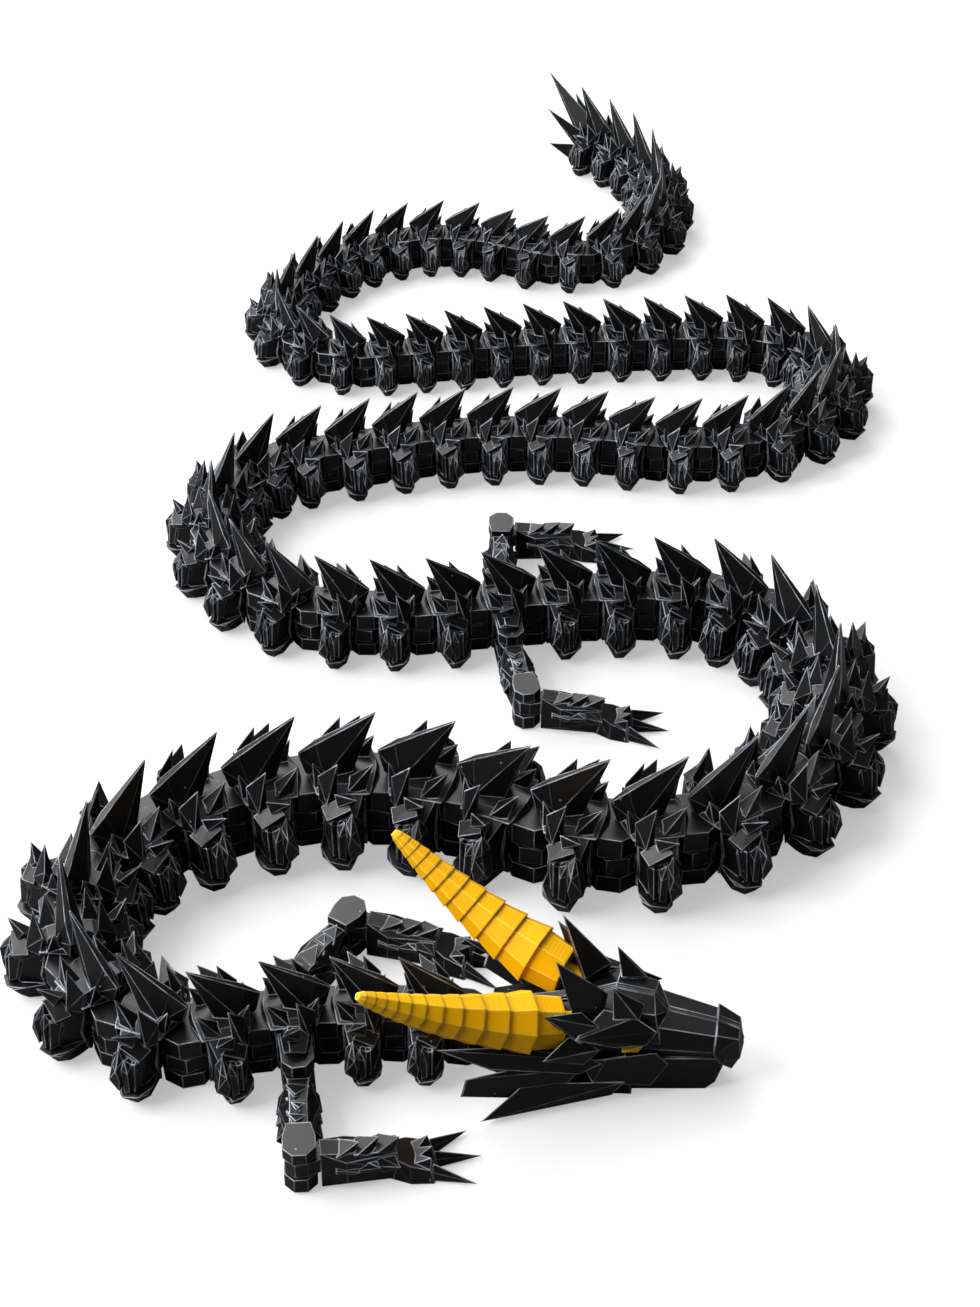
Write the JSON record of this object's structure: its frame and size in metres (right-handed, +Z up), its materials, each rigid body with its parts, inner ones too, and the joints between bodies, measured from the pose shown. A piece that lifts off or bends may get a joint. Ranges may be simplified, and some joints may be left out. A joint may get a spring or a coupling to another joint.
{
  "type": "articulated dragon fidget toy",
  "caption": "Articulated faceted dragon: a long chain of crystal-shaped links on upright hinge posts, with jointed legs, a horned head and a tail fan, laid in loops on a flat surface.",
  "frame": {"origin": "on the ground, under the middle of the overall box as laid", "axes": "+Z up; +Y along the length of the laid-out loops, from the lowest loop to the topmost; +X to the right, the way the head looks"},
  "size_m": [0.1614, 0.319, 0.0305],
  "materials": {
    "body_black": "satin printed plastic, near black",
    "horn_gold": "silky gold printed plastic",
    "eye_gold": "silky gold printed plastic"
  },
  "bodies": {
    "head": {"head": "body_black", "horn_left": "horn_gold", "horn_right": "horn_gold", "eyes": "eye_gold"},
    "link_01": {"link_01": "body_black"},
    "link_02": {"link_02": "body_black"},
    "link_03": {"link_03": "body_black"},
    "link_04": {"link_04": "body_black"},
    "link_05": {"link_05": "body_black"},
    "link_06": {"link_06": "body_black"},
    "link_07": {"link_07": "body_black"},
    "link_08": {"link_08": "body_black"},
    "link_09": {"link_09": "body_black"},
    "link_10": {"link_10": "body_black"},
    "link_11_12": {"link_11_12": "body_black"},
    "link_13_14": {"link_13_14": "body_black"},
    "link_15_16": {"link_15_16": "body_black"},
    "link_17_18": {"link_17_18": "body_black"},
    "link_19_20": {"link_19_20": "body_black"},
    "link_21_22": {"link_21_22": "body_black"},
    "link_23_24": {"link_23_24": "body_black"},
    "link_25_26": {"link_25_26": "body_black"},
    "link_27": {"link_27": "body_black"},
    "link_28_29": {"link_28_29": "body_black"},
    "link_30_31": {"link_30_31": "body_black"},
    "link_32_33": {"link_32_33": "body_black"},
    "link_34_35": {"link_34_35": "body_black"},
    "link_36_37": {"link_36_37": "body_black"},
    "link_38_39": {"link_38_39": "body_black"},
    "link_40_41": {"link_40_41": "body_black"},
    "link_42_43": {"link_42_43": "body_black"},
    "link_44_45": {"link_44_45": "body_black"},
    "link_46_47": {"link_46_47": "body_black"},
    "link_48_49": {"link_48_49": "body_black"},
    "link_50_51": {"link_50_51": "body_black"},
    "link_52_53": {"link_52_53": "body_black"},
    "link_54_55": {"link_54_55": "body_black"},
    "link_56_57": {"link_56_57": "body_black"},
    "link_58_59": {"link_58_59": "body_black"},
    "link_60_61": {"link_60_61": "body_black"},
    "link_62_63": {"link_62_63": "body_black"},
    "link_64_65": {"link_64_65": "body_black"},
    "link_66_67": {"link_66_67": "body_black"},
    "link_68_69": {"link_68_69": "body_black"},
    "link_70_71": {"link_70_71": "body_black"},
    "link_72_73": {"link_72_73": "body_black"},
    "link_74_75": {"link_74_75": "body_black"},
    "link_76_77": {"link_76_77": "body_black"},
    "link_78_79": {"link_78_79": "body_black"},
    "link_80_81": {"link_80_81": "body_black"},
    "link_82_83": {"link_82_83": "body_black"},
    "link_84": {"link_84": "body_black"},
    "front_right_upper_leg": {"front_right_upper_leg": "body_black"},
    "front_right_lower_leg": {"front_right_lower_leg": "body_black"},
    "front_left_upper_leg": {"front_left_upper_leg": "body_black"},
    "front_left_lower_leg": {"front_left_lower_leg": "body_black"},
    "rear_right_upper_leg": {"rear_right_upper_leg": "body_black"},
    "rear_right_lower_leg": {"rear_right_lower_leg": "body_black"},
    "rear_left_upper_leg": {"rear_left_upper_leg": "body_black"},
    "rear_left_lower_leg": {"rear_left_lower_leg": "body_black"}
  },
  "joints": [
    {"name": "link_04_hinge", "type": "hinge", "parent": "link_03", "child": "link_04", "pos_m": [-0.03767, -0.13179, 0.00521], "axis": [0, 0, -1], "range_deg": [-25, 20]},
    {"name": "link_05_hinge", "type": "hinge", "parent": "link_04", "child": "link_05", "pos_m": [-0.04868, -0.13463, 0.00535], "axis": [0, 0, 1], "range_deg": [-2, 70]},
    {"name": "link_06_hinge", "type": "hinge", "parent": "link_05", "child": "link_06", "pos_m": [-0.05968, -0.13074, 0.00548], "axis": [0, 0, -1], "range_deg": [-65, 7]},
    {"name": "link_07_hinge", "type": "hinge", "parent": "link_06", "child": "link_07", "pos_m": [-0.06761, -0.12178, 0.00562], "axis": [0, 0, -1], "range_deg": [-65, 7]},
    {"name": "link_08_hinge", "type": "hinge", "parent": "link_07", "child": "link_08", "pos_m": [-0.07026, -0.10982, 0.00576], "axis": [0, 0, -1], "range_deg": [-65, 7]},
    {"name": "link_09_hinge", "type": "hinge", "parent": "link_08", "child": "link_09", "pos_m": [-0.0667, -0.0978, 0.0059], "axis": [0, 0, 1], "range_deg": [-7, 65]},
    {"name": "link_10_hinge", "type": "hinge", "parent": "link_09", "child": "link_10", "pos_m": [-0.05754, -0.0888, 0.00603], "axis": [0, 0, 1], "range_deg": [-8, 54]},
    {"name": "link_11_hinge", "type": "hinge", "parent": "link_10", "child": "link_11_12", "pos_m": [-0.0458, -0.08295, 0.00617], "axis": [0, 0, -1], "range_deg": [-49, 11]},
    {"name": "link_13_hinge", "type": "hinge", "parent": "link_11_12", "child": "link_13_14", "pos_m": [-0.01904, -0.0797, 0.00644], "axis": [0, 0, 1], "range_deg": [-15, 49]},
    {"name": "link_15_hinge", "type": "hinge", "parent": "link_13_14", "child": "link_15_16", "pos_m": [0.00704, -0.08864, 0.00646], "axis": [0, 0, 1], "range_deg": [-51, 21]},
    {"name": "link_17_hinge", "type": "hinge", "parent": "link_15_16", "child": "link_17_18", "pos_m": [0.03345, -0.08937, 0.00623], "axis": [0, 0, -1], "range_deg": [-18, 54]},
    {"name": "link_19_hinge", "type": "hinge", "parent": "link_17_18", "child": "link_19_20", "pos_m": [0.05443, -0.075, 0.00599], "axis": [0, 0, -1], "range_deg": [-18, 54]},
    {"name": "link_21_hinge", "type": "hinge", "parent": "link_19_20", "child": "link_21_22", "pos_m": [0.06157, -0.05182, 0.00576], "axis": [0, 0, -1], "range_deg": [-13, 59]},
    {"name": "link_23_hinge", "type": "hinge", "parent": "link_21_22", "child": "link_23_24", "pos_m": [0.05033, -0.03144, 0.00552], "axis": [0, 0, 1], "range_deg": [-59, 13]},
    {"name": "link_25_hinge", "type": "hinge", "parent": "link_23_24", "child": "link_25_26", "pos_m": [0.02881, -0.02563, 0.00529], "axis": [0, 0, 1], "range_deg": [-41, 25]},
    {"name": "link_27_hinge", "type": "hinge", "parent": "link_25_26", "child": "link_27", "pos_m": [0.00713, -0.02713, 0.00505], "axis": [0, 0, -1], "range_deg": [-10, 13]},
    {"name": "link_28_hinge", "type": "hinge", "parent": "link_27", "child": "link_28_29", "pos_m": [-0.00328, -0.0285, 0.00494], "axis": [0, 0, -1], "range_deg": [-30, 32]},
    {"name": "link_30_hinge", "type": "hinge", "parent": "link_28_29", "child": "link_30_31", "pos_m": [-0.024, -0.03013, 0.00488], "axis": [0, 0, -1], "range_deg": [-44, 20]},
    {"name": "link_32_hinge", "type": "hinge", "parent": "link_30_31", "child": "link_32_33", "pos_m": [-0.04344, -0.0242, 0.00483], "axis": [0, 0, 1], "range_deg": [-12, 55]},
    {"name": "link_34_hinge", "type": "hinge", "parent": "link_32_33", "child": "link_34_35", "pos_m": [-0.05498, -0.00773, 0.00478], "axis": [0, 0, -1], "range_deg": [-61, 11]},
    {"name": "link_36_hinge", "type": "hinge", "parent": "link_34_35", "child": "link_36_37", "pos_m": [-0.0509, 0.01153, 0.00473], "axis": [0, 0, -1], "range_deg": [-61, 11]},
    {"name": "link_38_hinge", "type": "hinge", "parent": "link_36_37", "child": "link_38_39", "pos_m": [-0.03371, 0.02068, 0.00467], "axis": [0, 0, 1], "range_deg": [-11, 37]},
    {"name": "link_40_hinge", "type": "hinge", "parent": "link_38_39", "child": "link_40_41", "pos_m": [-0.01458, 0.02545, 0.00462], "axis": [0, 0, 1], "range_deg": [-18, 41]},
    {"name": "link_42_hinge", "type": "hinge", "parent": "link_40_41", "child": "link_42_43", "pos_m": [0.0048, 0.02749, 0.00457], "axis": [0, 0, -1], "range_deg": [-27, 31]},
    {"name": "link_44_hinge", "type": "hinge", "parent": "link_42_43", "child": "link_44_45", "pos_m": [0.02401, 0.02615, 0.00452], "axis": [0, 0, -1], "range_deg": [-18, 31]},
    {"name": "link_46_hinge", "type": "hinge", "parent": "link_44_45", "child": "link_46_47", "pos_m": [0.04287, 0.02399, 0.00447], "axis": [0, 0, 1], "range_deg": [-46, 13]},
    {"name": "link_48_hinge", "type": "hinge", "parent": "link_46_47", "child": "link_48_49", "pos_m": [0.06063, 0.02941, 0.00439], "axis": [0, 0, -1], "range_deg": [-10, 53]},
    {"name": "link_50_hinge", "type": "hinge", "parent": "link_48_49", "child": "link_50_51", "pos_m": [0.07214, 0.04361, 0.00432], "axis": [0, 0, -1], "range_deg": [-2, 70]},
    {"name": "link_52_hinge", "type": "hinge", "parent": "link_50_51", "child": "link_52_53", "pos_m": [0.06607, 0.05989, 0.00425], "axis": [0, 0, -1], "range_deg": [-2, 70]},
    {"name": "link_54_hinge", "type": "hinge", "parent": "link_52_53", "child": "link_54_55", "pos_m": [0.04876, 0.06406, 0.00418], "axis": [0, 0, -1], "range_deg": [-11, 46]},
    {"name": "link_56_hinge", "type": "hinge", "parent": "link_54_55", "child": "link_56_57", "pos_m": [0.03119, 0.06345, 0.00411], "axis": [0, 0, -1], "range_deg": [-16, 37]},
    {"name": "link_58_hinge", "type": "hinge", "parent": "link_56_57", "child": "link_58_59", "pos_m": [0.01396, 0.06224, 0.00404], "axis": [0, 0, 1], "range_deg": [-37, 21]},
    {"name": "link_60_hinge", "type": "hinge", "parent": "link_58_59", "child": "link_60_61", "pos_m": [-0.00292, 0.06047, 0.00397], "axis": [0, 0, 1], "range_deg": [-28, 35]},
    {"name": "link_62_hinge", "type": "hinge", "parent": "link_60_61", "child": "link_62_63", "pos_m": [-0.01945, 0.05829, 0.0039], "axis": [0, 0, -1], "range_deg": [-36, 20]},
    {"name": "link_64_hinge", "type": "hinge", "parent": "link_62_63", "child": "link_64_65", "pos_m": [-0.03562, 0.0587, 0.00383], "axis": [0, 0, 1], "range_deg": [-15, 54]},
    {"name": "link_66_hinge", "type": "hinge", "parent": "link_64_65", "child": "link_66_67", "pos_m": [-0.0469, 0.06938, 0.00376], "axis": [0, 0, -1], "range_deg": [-66, 6]},
    {"name": "link_68_hinge", "type": "hinge", "parent": "link_66_67", "child": "link_68_69", "pos_m": [-0.04326, 0.08448, 0.00379], "axis": [0, 0, 1], "range_deg": [-14, 43]},
    {"name": "link_70_hinge", "type": "hinge", "parent": "link_68_69", "child": "link_70_71", "pos_m": [-0.0331, 0.09703, 0.00381], "axis": [0, 0, 1], "range_deg": [-19, 50]},
    {"name": "link_72_hinge", "type": "hinge", "parent": "link_70_71", "child": "link_72_73", "pos_m": [-0.01863, 0.10424, 0.00383], "axis": [0, 0, 1], "range_deg": [-22, 50]},
    {"name": "link_74_hinge", "type": "hinge", "parent": "link_72_73", "child": "link_74_75", "pos_m": [-0.00236, 0.10381, 0.00386], "axis": [0, 0, -1], "range_deg": [-50, 22]},
    {"name": "link_76_hinge", "type": "hinge", "parent": "link_74_75", "child": "link_76_77", "pos_m": [0.01304, 0.0979, 0.00388], "axis": [0, 0, 1], "range_deg": [-56, 16]},
    {"name": "link_78_hinge", "type": "hinge", "parent": "link_76_77", "child": "link_78_79", "pos_m": [0.02895, 0.10129, 0.00391], "axis": [0, 0, -1], "range_deg": [-15, 57]},
    {"name": "link_80_hinge", "type": "hinge", "parent": "link_78_79", "child": "link_80_81", "pos_m": [0.03837, 0.11475, 0.00393], "axis": [0, 0, -1], "range_deg": [-15, 57]},
    {"name": "link_82_hinge", "type": "hinge", "parent": "link_80_81", "child": "link_82_83", "pos_m": [0.03707, 0.13135, 0.00396], "axis": [0, 0, 1], "range_deg": [-52, 20]},
    {"name": "link_84_hinge", "type": "hinge", "parent": "link_82_83", "child": "link_84", "pos_m": [0.02776, 0.14541, 0.00398], "axis": [0, 0, 1], "range_deg": [-46, 26]},
    {"name": "link_02_hinge", "type": "hinge", "parent": "link_03", "child": "link_02", "pos_m": [-0.02671, -0.13015, 0.00507], "axis": [0, 0, -1], "range_deg": [-2, 14]},
    {"name": "link_01_hinge", "type": "hinge", "parent": "link_02", "child": "link_01", "pos_m": [-0.01593, -0.12968, 0.00494], "axis": [0, 0, -1], "range_deg": [-6, 10]},
    {"name": "head_hinge", "type": "hinge", "parent": "link_01", "child": "head", "pos_m": [-0.00545, -0.13032, 0.00494], "axis": [0, 0, 1], "range_deg": [-21, 18]},
    {"name": "front_right_shoulder", "type": "hinge", "parent": "link_03", "child": "front_right_upper_leg", "pos_m": [-0.03088, -0.13973, 0.00521], "axis": [0, 0, -1], "range_deg": [-11, 45]},
    {"name": "front_right_elbow", "type": "hinge", "parent": "front_right_upper_leg", "child": "front_right_lower_leg", "pos_m": [-0.02968, -0.15687, 0.00521], "axis": [0, 0, 1], "range_deg": [-60, 14]},
    {"name": "front_left_shoulder", "type": "hinge", "parent": "link_03", "child": "front_left_upper_leg", "pos_m": [-0.0335, -0.1222, 0.00521], "axis": [0, 0, -1], "range_deg": [-29, 1]},
    {"name": "front_left_elbow", "type": "hinge", "parent": "front_left_upper_leg", "child": "front_left_lower_leg", "pos_m": [-0.0239, -0.10795, 0.00521], "axis": [0, 0, -1], "range_deg": [-26, 12]},
    {"name": "rear_right_hip", "type": "hinge", "parent": "link_27", "child": "rear_right_upper_leg", "pos_m": [0.00302, -0.03614, 0.00494], "axis": [0, 0, -1], "range_deg": [-26, 45]},
    {"name": "rear_right_knee", "type": "hinge", "parent": "rear_right_upper_leg", "child": "rear_right_lower_leg", "pos_m": [0.00585, -0.05217, 0.00494], "axis": [0, 0, 1], "range_deg": [-60, 36]},
    {"name": "rear_left_hip", "type": "hinge", "parent": "link_27", "child": "rear_left_upper_leg", "pos_m": [0.00083, -0.01949, 0.00494], "axis": [0, 0, -1], "range_deg": [-45, 22]},
    {"name": "rear_left_knee", "type": "hinge", "parent": "rear_left_upper_leg", "child": "rear_left_lower_leg", "pos_m": [0.0014, -0.00322, 0.00494], "axis": [0, 0, 1], "range_deg": [-22, 51]}
  ]
}
